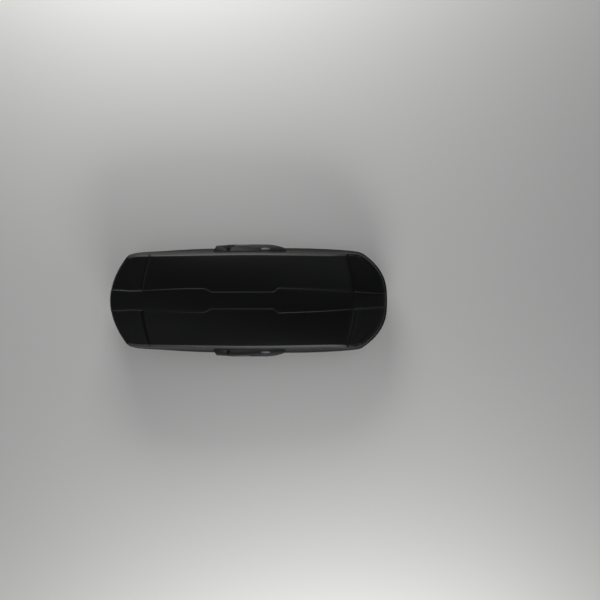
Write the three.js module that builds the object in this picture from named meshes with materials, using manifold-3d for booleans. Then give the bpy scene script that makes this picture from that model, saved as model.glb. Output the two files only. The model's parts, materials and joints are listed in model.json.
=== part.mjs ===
// Roof cargo box: a two-part moulded shell that opens from either side and
// clamps onto a pair of flat roof bars.
//
// Millimetres. X runs to the nose, Y to the left, Z up. The origin is under
// the middle of the box, level with the lowest point of the bar clamps.

import * as THREE from 'three';
import { mergeVertices } from 'three/addons/utils/BufferGeometryUtils.js';
import Module from 'manifold-3d';

const wasm = await Module();
wasm.setup();

// Overall size
const boxLength = 2300;
const boxWidth = 876;
const lidTop = 400;
const lidWall = 4;
const baseWall = 4;

// Running clearance between pieces that touch, and the overrun of every cut
const clearance = 0.3;
const overrun = 20;
const weldTolerance = 1e-4;

// Lid: heights of its lip and side wall, and its shoulder chamfer
const lipZ = 136;
const wallFootZ = 158;
const shoulderWidth = 21;
const shoulderDrop = 18;
const tailLean = 12;
const noseLean = 22;
const spineRise = 5;
const spineChamfer = 5;
const creaseDrop = 4;

// Base: the rim stands inside the lid's lip, the wall slopes in to a flat floor
const rimZ = 146;
const rimInset = 18;
const chineZ = 105;
const chineInset = 43;
const bilgeZ = 75;
const bilgeInset = 66;
const floorZ = 56;
const floorInset = 88;
const noseRake = 60;
const noseBilgeRake = 130;
const noseFloorRake = 300;
const tailRake = 24;
const tailBilgeRake = 62;
const tailFloorRake = 140;

// Hinge line on each side, and the stub pins that the lid turns on
const hingeInset = 68;
const hingeZ = 158;
const pinRadius = 4;
const pinRearReach = 18;
const pinFrontReach = 26;
const postThickness = 8;
const postRadius = 8;
const postFoot = 34;
const postFootHeight = 5;
const hingeShares = [-0.452, 0.026, 0.487];

// Rail along each side of the base, on moulded bosses
const railFrontMargin = 80;
const railRearMargin = 42;
const railWidth = 20;
const railHeight = 8;
const railWall = 3;
const bossTopZ = 112;
const bossLength = 60;
const bossReach = 18;

// Rail along each side of the lid, with a lock bar that slides in it
const lidRailZ = 170;
const lidRailWidth = 26;
const lidRailHeight = 23;
const lidRailWall = 3;
const saddleThickness = 5;
const saddleOffset = 9;
const saddleWidth = 18;
const saddleFootZ = 149;
const lockBarZ = 176;
const lockBarHeight = 5;
const lockTravel = 16;
const eyeThickness = 6;
const eyeStand = 30.4;
const eyeRadius = 8.6;

// Ledge along each side of the lid, which carries the rail and has a pad at each end for the lifters
const ledgeReach = 18;
const ledgeHeight = 12;
const padReach = 30;

// Opener on each side of the lid: housing, grip lever and round key plug
const openerRearX = -280;
const openerFrontX = 304;
const openerStand = 29;
const openerRearStand = 4;
const openerFrontInset = 6;
const openerFaceInset = 24;
const openerFaceZ = 213;
const openerEdgeCut = 5;
const openerEdgeZ = 192;
const openerSideZ = 184;
const openerFootZ = 141;
const openerFootCut = 6;
const openerRamp = 28;
const openerSwell = 160;
const leverRearX = -120;
const leverLength = 122;
const leverBarrel = 7;
const leverInset = 15;
const leverPivotZ = 189.5;
const leverPinRadius = 2.5;
const leverPinReach = 6;
const leverSkin = 7;
const gripGapWidth = 27;
const keyX = -174;
const keyInset = 6;
const keyRadius = 17.5;
const keyDepth = 3;
const keyStand = 3;
const keySlotWidth = 3;
const keySlotLength = 14;
const keySlotDepth = 2;
const crankRadius = 11.3;
const crankDisc = 15;
const crankDiscHeight = 3;
const crankPinRadius = 2.5;
const crankPinLength = 11;
const tabZ = 190.5;
const tabThickness = 3;
const tabWidth = 20;
const tabStand = 19;
const tabPastKey = 12;
const tabSlotPastKey = 2;
const lockPlay = 2;

// Lid lifters: crossed arms, each on a post with a torsion spring
const lifterShare = 0.6435;
const lifterStagger = 35;
const lifterBossTopZ = 135;
const lifterBossLength = 74;
const drumLength = 22;
const armThickness = 8;
const armDepth = 12;
const armZ = 164;
const armEyeRadius = 10;
const armToeInset = 18;
const armShoulder = 25;
const armToe = 14;
const lifterCap = 3;
const springWire = 3;
const springTurns = 5;
const springPitch = 3.6;
const springSteps = 8;
const springSides = 5;

// Stiffening hoops under the lid
const hoopWidth = 40;
const hoopThickness = 6;
const hoopFootZ = 214;
const hoopShares = [-0.27, 0.235];

// Bar clamps, and the bars that they hold
const barTopZ = 42;
const barBottomZ = 12;
const barRearX = -463;
const barFrontX = 275;
const clampInset = 105;
const slotLength = 244;
const slotWidth = 32;
const trackThickness = 3;
const trackWidth = 76;
const trackMargin = 55;
const seatLength = 60;
const seatWidth = 26;
const plateLength = 76;
const plateWidth = 54;
const plateHeight = 4.4;
const cheekLength = 128;
const cheekThickness = 7;
const cheekTopZ = 107;
const bridgeLength = 44;
const bridgeHeight = 4;
const jawPivotX = 50;
const jawPivotZ = 78;
const jawPinRadius = 3.5;
const jawWidth = 18;
const jawHalfEye = 8;
const jawSkin = 15;
const jawToeX = 20;
const jawToeHeight = 8;
const jawHeelCut = 6;
const jawTailX = 14;
const jawTailHeight = 7;
const screwRadius = 5;
const screwFootZ = 70;
const threadClearance = 0.6;
const yokeLength = 40;
const yokeWidth = 36;
const yokeHeight = 8;
const yokeZ = 86;
const knobRadius = 24;
const knobLobe = 3;
const knobLobes = 5;
const knobHeight = 20;

// Mat on the floor between the two tracks
const matThickness = 3;
const matMargin = 12;

// Slim bars get fewer facets than stout ones, and an arc or curve of an outline has its own count
const slimRadius = 6;
const stoutRadius = 12;
const slimFacets = 10;
const middleFacets = 14;
const stoutFacets = 24;
const arcFacets = 6;

const halfLength = boxLength / 2;
const halfWidth = boxWidth / 2;
const floorTopZ = floorZ + baseWall;

// Lines along the box that pieces are set out from: hinges, openers, keys and clamps
const hingeY = halfWidth - hingeInset;
const hingeXs = hingeShares.map((share) => share * halfLength);
const railRearX = hingeXs[0] - railRearMargin;
const railFrontX = hingeXs[hingeXs.length - 1] + railFrontMargin;
const bossInnerY = hingeY - bossReach;
const openerReach = halfWidth + openerStand;
const openerFaceY = halfWidth - openerFaceInset;
const openerEdgeY = openerReach - openerEdgeCut;
const leverPivotY = openerReach - leverInset;
const gripGapY = openerReach - gripGapWidth;
const keyY = halfWidth - keyInset;
const tabRiserY = hingeY + tabStand;
const tabReach = keyY + tabPastKey;
const lifterX = lifterShare * halfLength;
const clampY = hingeY - clampInset;

// Plan and height of the shell, as shares of its half length, half width or height.
// Each pair is a place along the half length and the value there.
const rimShares = [
  [-0.88, 0.868], [-0.848, 0.894], [-0.8, 0.917], [-0.636, 0.943], [-0.491, 0.968], [-0.31, 0.989],
  [0.017, 1], [0.379, 0.998], [0.524, 0.986], [0.66, 0.966], [0.74, 0.948], [0.8, 0.924], [0.828, 0.89],
];
const crownShares = [
  [-1, 0.8], [-0.87, 0.858], [-0.74, 0.925], [-0.52, 0.98], [-0.26, 1], [0, 0.998],
  [0.26, 0.97], [0.52, 0.905], [0.75, 0.825], [0.84, 0.72], [0.93, 0.61], [1, 0.515],
];
const crownDropShares = [
  [-1, 0.015], [-0.87, 0.05], [-0.74, 0.09], [-0.49, 0.118], [-0.26, 0.135], [0.2, 0.134],
  [0.47, 0.116], [0.7, 0.095], [0.77, 0.095], [0.84, 0.05], [0.93, -0.01], [1, -0.098],
];
const shoulderInsetShares = [
  [-0.88, 0.046], [-0.8, 0.053], [-0.636, 0.071], [-0.491, 0.091], [-0.31, 0.103],
  [0.017, 0.105], [0.379, 0.112], [0.524, 0.107], [0.63, 0.094], [0.7, 0.078], [0.77, 0.059], [0.828, 0.046],
];
const spineShares = [
  [-1, 0.208], [-0.93, 0.203], [-0.86, 0.19], [-0.7, 0.206], [-0.6, 0.218], [-0.47, 0.231], [-0.312, 0.234],
  [-0.265, 0.169], [0, 0.169], [0.186, 0.169], [0.222, 0.244], [0.517, 0.217], [0.8, 0.173], [1, 0.142],
];
// Rows across the shell, each with its places at the side and at the middle, and its bow
const rowShares = [
  [-0.88, -1, 2], [-0.848, -0.95, 2], [-0.81, -0.885, 1.9], [-0.765, -0.825, 1.8], [-0.723, -0.78, 1.6],
  [-0.703, -0.76, 1.6], [-0.61, -0.66, 1.6], [-0.491, -0.52, 1.6], [-0.39, -0.4, 1.6], [-0.312, -0.312, 1],
  [-0.265, -0.265, 1], [-0.13, -0.13, 1], [0, 0, 1], [0.1, 0.1, 1], [0.186, 0.186, 1], [0.222, 0.222, 1],
  [0.34, 0.345, 1.6], [0.46, 0.475, 1.6], [0.57, 0.6, 1.6], [0.66, 0.71, 1.6], [0.717, 0.776, 1.6],
  [0.739, 0.798, 1.6], [0.768, 0.855, 2], [0.795, 0.905, 2.4], [0.818, 0.955, 2.6], [0.828, 1, 2.8],
];
const columnShares = [0.19, 0.4, 0.61, 0.82, 1];
const rearCreaseRow = 5;
const frontCreaseRow = 20;
const wallBendShare = 0.25;
const bendInsetShare = 0.5;
const crownPower = 2.2;

// Reads a table of shares at one place with a smooth curve through its points
function follow(table, at) {
  const last = table.length - 1;
  let k = 0;
  while (k < last - 1 && at > table[k + 1][0]) k += 1;
  const [x0, y0] = table[k];
  const [x1, y1] = table[k + 1];
  const before = table[Math.max(k - 1, 0)];
  const after = table[Math.min(k + 2, last)];
  const t = THREE.MathUtils.clamp((at - x0) / (x1 - x0), 0, 1);
  const slope0 = ((y1 - before[1]) / (x1 - before[0])) * (x1 - x0);
  const slope1 = ((after[1] - y0) / (after[0] - x0)) * (x1 - x0);
  const t2 = t * t;
  const t3 = t2 * t;
  return (2 * t3 - 3 * t2 + 1) * y0 + (t3 - 2 * t2 + t) * slope0
    + (3 * t2 - 2 * t3) * y1 + (t3 - t2) * slope1;
}

// Places across one row, as shares of its half width, with the spine's edges among them
function rowColumns(row) {
  const [side, middle] = rowShares[row];
  const edge = (follow(rimShares, side) - follow(shoulderInsetShares, side)) * halfWidth - shoulderWidth;
  const spine = follow(spineShares, middle) * halfWidth;
  const top = (spine - spineChamfer) / edge;
  const foot = spine / edge;
  const right = [...columnShares].reverse().map((share) => -(foot + (1 - foot) * share));
  const left = columnShares.map((share) => foot + (1 - foot) * share);
  return [...right, -foot, -top, 0, top, foot, ...left];
}

const rows = rowShares.map((row, index) => rowColumns(index));
const columnCount = rows[0].length;
const spineColumns = [columnShares.length + 1, columnShares.length + 3];

// One point of a level: where a row and column lie once the level's insets are taken off
function levelPoint(level, row, column) {
  const [sideShare, middleShare, bow] = rowShares[row];
  const across = rows[row][column];
  const share = middleShare + (sideShare - middleShare) * Math.abs(across) ** bow;
  const lean = share > 0 ? level.nose : level.tail;
  const rim = follow(rimShares, sideShare) * halfWidth;
  return [
    share * (halfLength - lean),
    across * (rim - level.side(sideShare)),
    level.height(row, column, across),
  ];
}

// Builds a closed solid from levels that share one grid: a face at each end with rings between.
// A flat end is a fan of triangles about the middle, any other end is the full grid.
function levelSolid(levels) {
  const rowCount = rows.length;
  const loop = [];
  for (let i = 0; i < rowCount - 1; i += 1) loop.push([i, 0]);
  for (let j = 0; j < columnCount - 1; j += 1) loop.push([rowCount - 1, j]);
  for (let i = rowCount - 1; i > 0; i -= 1) loop.push([i, columnCount - 1]);
  for (let j = columnCount - 1; j > 0; j -= 1) loop.push([0, j]);
  const points = [];
  const faces = [];
  const grid = (level) => {
    const start = points.length;
    for (let i = 0; i < rowCount; i += 1) {
      for (let j = 0; j < columnCount; j += 1) points.push(levelPoint(level, i, j));
    }
    return loop.map(([i, j]) => start + i * columnCount + j);
  };
  const faceGrid = (start, up) => {
    for (let i = 0; i < rowCount - 1; i += 1) {
      for (let j = 0; j < columnCount - 1; j += 1) {
        const a = start + i * columnCount + j;
        const b = a + columnCount;
        if (up) faces.push(a, b, b + 1, a, b + 1, a + 1);
        else faces.push(a, b + 1, b, a, a + 1, b + 1);
      }
    }
  };
  const rings = levels.map((level, index) => {
    const isEnd = index === 0 || index === levels.length - 1;
    if (isEnd && !level.flat) {
      const start = points.length;
      const ring = grid(level);
      faceGrid(start, index > 0);
      return ring;
    }
    const ring = loop.map(([i, j]) => points.push(levelPoint(level, i, j)) - 1);
    if (isEnd) {
      const middle = points.push([0, 0, level.height(0, 0, 0)]) - 1;
      ring.forEach((a, n) => {
        const b = ring[(n + 1) % ring.length];
        if (index > 0) faces.push(a, b, middle);
        else faces.push(b, a, middle);
      });
    }
    return ring;
  });
  for (let k = 0; k < rings.length - 1; k += 1) {
    for (let n = 0; n < loop.length; n += 1) {
      const m = (n + 1) % loop.length;
      const [a, b, c, d] = [rings[k][n], rings[k][m], rings[k + 1][m], rings[k + 1][n]];
      faces.push(a, b, c, a, c, d);
    }
  }
  const geometry = new THREE.BufferGeometry();
  geometry.setAttribute('position', new THREE.Float32BufferAttribute(points.flat(), 3));
  geometry.setIndex(faces);
  return toSolid(geometry);
}

// Solids in and out of three.js geometry
function toSolid(geometry) {
  const plain = geometry.clone();
  plain.deleteAttribute('normal');
  plain.deleteAttribute('uv');
  const merged = mergeVertices(plain, weldTolerance);
  return new wasm.Manifold(new wasm.Mesh({
    numProp: 3,
    vertProperties: new Float32Array(merged.attributes.position.array),
    triVerts: new Uint32Array(merged.index.array),
  }));
}

function toGeometry(solid) {
  const mesh = solid.getMesh();
  const geometry = new THREE.BufferGeometry();
  geometry.setAttribute('position', new THREE.BufferAttribute(mesh.vertProperties, 3));
  geometry.setIndex(new THREE.BufferAttribute(mesh.triVerts, 1));
  return geometry;
}

function block(x0, x1, y0, y1, z0, z1) {
  const geometry = new THREE.BoxGeometry(x1 - x0, y1 - y0, z1 - z0);
  geometry.translate((x0 + x1) / 2, (y0 + y1) / 2, (z0 + z1) / 2);
  return toSolid(geometry);
}

// A round bar along X, Y or Z from one place to another, with more facets on a stouter one
function bar(axis, radius, from, to, centre) {
  const segments = radius < slimRadius ? slimFacets : radius < stoutRadius ? middleFacets : stoutFacets;
  const geometry = new THREE.CylinderGeometry(radius, radius, to - from, segments);
  geometry.translate(0, (from + to) / 2, 0);
  if (axis === 'x') geometry.rotateZ(-Math.PI / 2);
  if (axis === 'z') geometry.rotateX(Math.PI / 2);
  geometry.translate(...centre);
  return toSolid(geometry);
}

// An outline in Y and Z, drawn out along X
function alongX(outline, x0, x1) {
  const shape = new THREE.Shape(outline.map(([y, z]) => new THREE.Vector2(y, z)));
  const geometry = new THREE.ExtrudeGeometry(shape, { depth: x1 - x0, bevelEnabled: false });
  geometry.applyMatrix4(new THREE.Matrix4().set(0, 0, 1, x0, 1, 0, 0, 0, 0, 1, 0, 0, 0, 0, 0, 1));
  return toSolid(geometry);
}

// An outline in X and Z, drawn out along Y
function alongY(outline, y0, y1) {
  const shape = new THREE.Shape(outline.map(([x, z]) => new THREE.Vector2(x, z)));
  const geometry = new THREE.ExtrudeGeometry(shape, { depth: y1 - y0, bevelEnabled: false });
  geometry.applyMatrix4(new THREE.Matrix4().set(1, 0, 0, 0, 0, 0, -1, y1, 0, 1, 0, 0, 0, 0, 0, 1));
  return toSolid(geometry);
}

// An outline in X and Y, drawn out along Z
function alongZ(shape, z0, z1) {
  const geometry = new THREE.ExtrudeGeometry(shape, { depth: z1 - z0, bevelEnabled: false, curveSegments: arcFacets });
  geometry.translate(0, 0, z0);
  return toSolid(geometry);
}

function slotShape(length, width, x, y) {
  const run = (length - width) / 2;
  const shape = new THREE.Shape();
  shape.absarc(x + run, y, width / 2, -Math.PI / 2, Math.PI / 2, false);
  shape.absarc(x - run, y, width / 2, Math.PI / 2, (3 * Math.PI) / 2, false);
  return shape;
}

function joined(parts) {
  return parts.reduce((whole, part) => whole.add(part));
}

function mirrored(solid) {
  const geometry = toGeometry(solid);
  geometry.scale(1, -1, 1);
  const index = geometry.index.array;
  for (let n = 0; n < index.length; n += 3) {
    const first = index[n];
    index[n] = index[n + 1];
    index[n + 1] = first;
  }
  return toSolid(geometry);
}

const object = new THREE.Group();
const shellBlack = new THREE.MeshStandardMaterial({ color: 0x101012, roughness: 0.35, metalness: 0 });
const basePlastic = new THREE.MeshStandardMaterial({ color: 0x1b1b1d, roughness: 0.7, metalness: 0 });
const openerPlastic = new THREE.MeshStandardMaterial({ color: 0x17171a, roughness: 0.5, metalness: 0 });
const railAluminium = new THREE.MeshStandardMaterial({ color: 0xb4b6b8, roughness: 0.4, metalness: 1 });
const zincSteel = new THREE.MeshStandardMaterial({ color: 0x9a9da0, roughness: 0.35, metalness: 1 });
const springSteel = new THREE.MeshStandardMaterial({ color: 0x55585c, roughness: 0.3, metalness: 1 });
const clampPlastic = new THREE.MeshStandardMaterial({ color: 0x242427, roughness: 0.6, metalness: 0 });
const knobPlastic = new THREE.MeshStandardMaterial({ color: 0x6e7073, roughness: 0.55, metalness: 0 });
const jawRubber = new THREE.MeshStandardMaterial({ color: 0x1a1a1a, roughness: 0.8, metalness: 0 });
const matFelt = new THREE.MeshStandardMaterial({ color: 0x2c2d30, roughness: 1, metalness: 0 });

function place(name, solid, material, x = 0, y = 0, z = 0) {
  const mesh = new THREE.Mesh(toGeometry(solid), material);
  mesh.name = name;
  mesh.position.set(x, y, z);
  object.add(mesh);
  return mesh;
}

function placeOnBothSides(name, solid, material) {
  place(`${name}_left`, solid, material);
  place(`${name}_right`, mirrored(solid), material);
}

// Height of the lid's top at one grid point
function topHeight(row, across, raised) {
  const middle = rowShares[row][1];
  const crown = follow(crownShares, middle);
  const drop = follow(crownDropShares, middle) * Math.abs(across) ** crownPower;
  const stepped = row >= rearCreaseRow && row <= frontCreaseRow ? 0 : creaseDrop;
  return (crown - drop) * lidTop - stepped + (raised ? spineRise + stepped : 0) - spineRise;
}

// The lid's outside moved inwards by one distance, or outwards when it is negative
function lidForm(inward) {
  const shoulder = (share) => follow(shoulderInsetShares, share) * halfWidth;
  const edge = (row, across) => topHeight(row, across, false) - shoulderDrop;
  const bend = (row, across) => wallFootZ + (edge(row, across) - wallFootZ) * wallBendShare;
  const lip = { side: () => inward, nose: inward, tail: inward };
  return levelSolid([
    { ...lip, flat: true, height: () => lipZ - (inward === 0 ? 0 : overrun) },
    { ...lip, height: () => wallFootZ },
    {
      side: (share) => shoulder(share) * bendInsetShare + inward,
      nose: noseLean * bendInsetShare + inward,
      tail: tailLean * bendInsetShare + inward,
      height: (row, column, across) => bend(row, across),
    },
    {
      side: (share) => shoulder(share) + inward,
      nose: noseLean + inward,
      tail: tailLean + inward,
      height: (row, column, across) => edge(row, across) - inward / 2,
    },
    {
      side: (share) => shoulder(share) + shoulderWidth + inward,
      nose: noseLean + shoulderWidth + inward,
      tail: tailLean + shoulderWidth / 2 + inward,
      height: (row, column, across) => {
        const raised = inward <= 0 && column >= spineColumns[0] && column <= spineColumns[1];
        return topHeight(row, across, raised) - inward;
      },
    },
  ]);
}

const lidOutside = lidForm(0);
const lidInside = lidForm(lidWall);

// Key frame on the opener's sloping face: the plug's axis leans outwards with the face
const faceRun = openerEdgeY - openerFaceY;
const faceFall = openerFaceZ - openerEdgeZ;
const faceTilt = Math.atan2(faceFall, faceRun);
const keyZ = openerFaceZ - ((keyY - openerFaceY) * faceFall) / faceRun;

function onKeyFrame(solid) {
  const geometry = toGeometry(solid);
  geometry.rotateX(-faceTilt);
  geometry.translate(keyX, keyY, keyZ);
  return toSolid(geometry);
}

// Lid shell: moulded hood with a window on each side for the lock bar's tab
const tabWindow = block(
  keyX - lockTravel / 2 - tabWidth / 2 - lockPlay,
  keyX + lockTravel / 2 + tabWidth / 2 + lockPlay,
  tabRiserY - lockPlay, halfWidth, tabZ - 3 * clearance, tabZ + tabThickness + 3 * clearance,
);
place('lid_shell', lidOutside.subtract(lidInside).subtract(tabWindow).subtract(mirrored(tabWindow)), shellBlack);

// Lid ledges: a strip bonded along each side wall over the rail, from one lifter pad to the other
const lidRailTopZ = lidRailZ + lidRailHeight;
const ledgeZ = lidRailTopZ + clearance;
const ledgeTopZ = ledgeZ + ledgeHeight;
const pads = [-lifterX, lifterX].map((x) => {
  const armX = x + postThickness / 2 + drumLength + clearance;
  return { rearX: armX - lifterStagger - armThickness, frontX: armX + lifterStagger + armThickness * 2 };
});
const ledge = joined([
  block(pads[0].rearX, pads[1].frontX, hingeY - ledgeReach, halfWidth, ledgeZ, ledgeTopZ),
  ...pads.map(({ rearX, frontX }) => block(rearX, frontX, hingeY - padReach, halfWidth, ledgeZ, ledgeTopZ)),
]).subtract(tabWindow);
const lidRoom = lidForm(lidWall + clearance);
place('lid_ledge_left', ledge.intersect(lidRoom), basePlastic);
place('lid_ledge_right', mirrored(ledge).intersect(lidRoom), basePlastic);

// Stiffening hoops, pressed to the curve of the lid's inside
const hoopForm = lidRoom.subtract(lidForm(lidWall + clearance + hoopThickness));
const hoopNames = ['lid_hoop_rear', 'lid_hoop_front'];
hoopShares.forEach((share, index) => {
  const x = share * halfLength;
  const slice = block(x - hoopWidth / 2, x + hoopWidth / 2, -halfWidth, halfWidth, hoopFootZ, lidTop);
  place(hoopNames[index], hoopForm.intersect(slice), railAluminium);
});

// Base: a flat floor panel under a shell of sloping walls, with bosses for the rails and lifter posts
function baseForm(inward) {
  const level = (side, nose, tail, z) => ({
    flat: true,
    side: () => side + inward,
    nose: nose + inward,
    tail: tail + inward,
    height: () => z,
  });
  const levels = [
    level(floorInset, rimInset + noseFloorRake, rimInset + tailFloorRake, floorZ + inward),
    level(bilgeInset, rimInset + noseBilgeRake, rimInset + tailBilgeRake, bilgeZ + inward / 2),
    level(chineInset, rimInset + noseRake, rimInset + tailRake, chineZ),
    level(rimInset, rimInset, rimInset, rimZ),
  ];
  if (inward > 0) levels.push(level(rimInset, rimInset, rimInset, rimZ + overrun));
  return levelSolid(levels);
}

const baseOutside = baseForm(0);
const bosses = hingeXs.map((x) => block(
  x - bossLength / 2, x + bossLength / 2, bossInnerY, halfWidth, floorZ, bossTopZ,
));
for (const x of [-lifterX, lifterX]) {
  bosses.push(block(
    x - lifterBossLength / 2, x + lifterBossLength / 2, bossInnerY, halfWidth, floorZ, lifterBossTopZ,
  ));
}
const leftBosses = joined(bosses);
const clampCentres = [];
for (const [end, x] of [['rear', barRearX], ['front', barFrontX]]) {
  for (const [side, y] of [['left', clampY], ['right', -clampY]]) {
    clampCentres.push({ name: `${end}_${side}`, x, y });
  }
}
const floorSlots = joined(clampCentres.map(({ x, y }) => alongZ(
  slotShape(slotLength, slotWidth, x, y), floorZ - overrun, floorTopZ + overrun,
)));
const baseTub = baseOutside
  .subtract(baseForm(baseWall))
  .add(joined([leftBosses, mirrored(leftBosses)]).intersect(baseOutside))
  .subtract(floorSlots);
const belowFloorTop = (z) => block(-halfLength, halfLength, -halfWidth, halfWidth, floorZ - overrun, z);
place('base_floor', baseTub.intersect(belowFloorTop(floorTopZ)), basePlastic);
place('base_shell', baseTub.subtract(belowFloorTop(floorTopZ + clearance)), basePlastic);

// Base rails: channel sections screwed down on the bosses
const railFootZ = bossTopZ + clearance;
const railTopZ = railFootZ + railHeight;
const railInnerY = hingeY - railWidth / 2;
const railOuterY = hingeY + railWidth / 2;
placeOnBothSides('base_rail', alongX([
  [railInnerY, railFootZ],
  [railOuterY, railFootZ],
  [railOuterY, railTopZ],
  [railOuterY - railWall, railTopZ],
  [railOuterY - railWall, railFootZ + railWall],
  [railInnerY + railWall, railFootZ + railWall],
  [railInnerY + railWall, railTopZ],
  [railInnerY, railTopZ],
], railRearX, railFrontX), railAluminium);

// A post on the hinge line, from its foot to the round eye that carries the pin
function postSolid(x, footZ, footWidth) {
  return joined([
    block(x - postFoot / 2, x + postFoot / 2, hingeY - footWidth / 2, hingeY + footWidth / 2, footZ, footZ + postFootHeight),
    block(x - postThickness / 2, x + postThickness / 2, hingeY - footWidth / 2, hingeY + footWidth / 2, footZ, hingeZ),
    bar('x', postRadius, x - postThickness / 2, x + postThickness / 2, [0, hingeY, hingeZ]),
  ]);
}

// Hinge posts: seated in the channel, with a stub pin out to both sides
const hingeNames = ['rear', 'middle', 'front'];
const hingeFootZ = railFootZ + railWall + clearance;
const hingeFootWidth = railWidth - 2 * railWall - 2 * clearance;
hingeXs.forEach((x, index) => {
  const pin = bar('x', pinRadius, x - pinRearReach, x + pinFrontReach, [0, hingeY, hingeZ]);
  placeOnBothSides(`hinge_post_${hingeNames[index]}`, postSolid(x, hingeFootZ, hingeFootWidth).add(pin), zincSteel);
});

// Lid rails: upside-down channels with a pair of open saddles over each pin
const lidRailInnerY = hingeY - lidRailWidth / 2;
const lidRailOuterY = hingeY + lidRailWidth / 2;
const saddleSlot = pinRadius + clearance;
const saddleTopZ = lockBarZ - clearance;
function saddle(x) {
  const plate = block(
    x, x + saddleThickness, hingeY - saddleWidth / 2, hingeY + saddleWidth / 2, saddleFootZ, saddleTopZ,
  ).add(block(
    x, x + saddleThickness, lidRailInnerY, lidRailOuterY, lidRailZ, saddleTopZ,
  ));
  const x0 = x - saddleThickness;
  const x1 = x + saddleThickness * 2;
  return plate
    .subtract(bar('x', saddleSlot, x0, x1, [0, hingeY, hingeZ]))
    .subtract(block(x0, x1, hingeY - saddleSlot, hingeY + saddleSlot, saddleFootZ - overrun, hingeZ));
}
const saddles = hingeXs.flatMap((x) => [saddle(x + saddleOffset), saddle(x - saddleOffset - saddleThickness)]);
const railSlot = block(
  keyX - lockTravel / 2 - tabWidth / 2 - lockPlay,
  keyX + lockTravel / 2 + tabWidth / 2 + lockPlay,
  hingeY, lidRailOuterY + overrun, lidRailZ - overrun, lockBarZ + lockBarHeight + clearance,
);
const lidRail = alongX([
  [lidRailInnerY, lidRailZ],
  [lidRailInnerY + lidRailWall, lidRailZ],
  [lidRailInnerY + lidRailWall, lidRailTopZ - lidRailWall],
  [lidRailOuterY - lidRailWall, lidRailTopZ - lidRailWall],
  [lidRailOuterY - lidRailWall, lidRailZ],
  [lidRailOuterY, lidRailZ],
  [lidRailOuterY, lidRailTopZ],
  [lidRailInnerY, lidRailTopZ],
], railRearX, railFrontX).subtract(railSlot);
placeOnBothSides('lid_rail', joined([lidRail, ...saddles]), railAluminium);

// Lock bars: a flat bar with an eye for each pin, and a tab that the key's crank drives
const lockInnerY = lidRailInnerY + lidRailWall + clearance;
const lockOuterY = lidRailOuterY - lidRailWall - clearance;
const lockEyes = hingeXs.map((x) => {
  const x0 = x + eyeStand;
  const x1 = x0 + eyeThickness;
  return block(x0, x1, hingeY - eyeRadius, hingeY + eyeRadius, hingeZ, lockBarZ + lockBarHeight / 2)
    .add(bar('x', eyeRadius, x0, x1, [0, hingeY, hingeZ]))
    .subtract(bar('x', saddleSlot + clearance, x0 - overrun, x1 + overrun, [0, hingeY, hingeZ]));
});
const tabTopZ = tabZ + tabThickness;
const tabX = keyX + lockTravel / 2;
const tab = alongX([
  [hingeY, lockBarZ],
  [tabRiserY + tabThickness, lockBarZ],
  [tabRiserY + tabThickness, tabZ],
  [tabReach, tabZ],
  [tabReach, tabTopZ],
  [tabRiserY, tabTopZ],
  [tabRiserY, lockBarZ + tabThickness],
  [hingeY, lockBarZ + tabThickness],
], tabX - tabWidth / 2, tabX + tabWidth / 2).subtract(block(
  tabX - crankPinRadius - clearance * 2, tabX + crankPinRadius + clearance * 2,
  keyY - tabSlotPastKey, tabReach + overrun, tabZ - overrun, tabTopZ + overrun,
));
const lockEnd = eyeStand + eyeThickness;
const lockRearX = hingeXs[0] - pinRearReach + lockTravel;
const lockFrontX = hingeXs[2] + lockEnd;
placeOnBothSides('lock_bar', joined([
  block(lockRearX, lockFrontX, lockInnerY, lockOuterY, lockBarZ, lockBarZ + lockBarHeight),
  ...lockEyes,
  tab,
]), zincSteel);

// Opener housings: the plan outline, cut to the sloping section and to the lid's wall
const openerPlan = new THREE.Shape();
openerPlan.moveTo(openerRearX, openerFaceY - openerRamp);
openerPlan.lineTo(openerRearX, halfWidth + openerRearStand);
openerPlan.quadraticCurveTo(openerRearX + openerSwell / 2, openerReach, openerRearX + openerSwell, openerReach);
openerPlan.lineTo(openerFrontX - openerSwell, openerReach);
openerPlan.quadraticCurveTo(openerFrontX - openerSwell / 2, openerReach, openerFrontX, halfWidth - openerFrontInset);
openerPlan.lineTo(openerFrontX, openerFaceY - openerRamp);
openerPlan.closePath();
const openerSection = alongX([
  [openerFaceY - openerRamp, openerFootZ],
  [openerReach - openerFootCut, openerFootZ],
  [openerReach, openerFootZ + openerFootCut],
  [openerReach, openerSideZ],
  [openerEdgeY, openerEdgeZ],
  [openerFaceY, openerFaceZ],
  [openerFaceY - openerRamp, openerFaceZ],
], openerRearX, openerFrontX);
const leverFrontX = leverRearX + leverLength;
const leverPocket = joined([
  bar('x', leverBarrel + 2 * clearance, leverRearX - clearance, leverFrontX + clearance, [0, leverPivotY, leverPivotZ]),
  block(
    leverRearX - clearance, leverFrontX + clearance, leverPivotY, openerReach + overrun,
    openerFootZ - overrun, openerFaceZ,
  ),
  block(
    leverRearX - clearance, leverFrontX + clearance, gripGapY, openerReach,
    openerFootZ - overrun, leverPivotZ - leverBarrel,
  ),
  bar(
    'x', leverPinRadius + clearance, leverRearX - leverPinReach - clearance,
    leverFrontX + leverPinReach + clearance, [0, leverPivotY, leverPivotZ],
  ),
]);
const keyRecess = onKeyFrame(bar('z', keyRadius + clearance, -keyDepth - clearance, overrun, [0, 0, 0]));
const keyBore = onKeyFrame(bar(
  'z', crankDisc + clearance * 2, -crankPinLength - keyDepth - crankDiscHeight - 3 * clearance, 0, [0, 0, 0],
));
const tabCavity = block(
  keyX - lockTravel / 2 - tabWidth / 2 - lockPlay,
  keyX + lockTravel / 2 + tabWidth / 2 + lockPlay,
  openerFaceY - openerRamp, tabReach + lockPlay, tabZ - 3 * clearance, tabTopZ + 3 * clearance,
);
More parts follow.
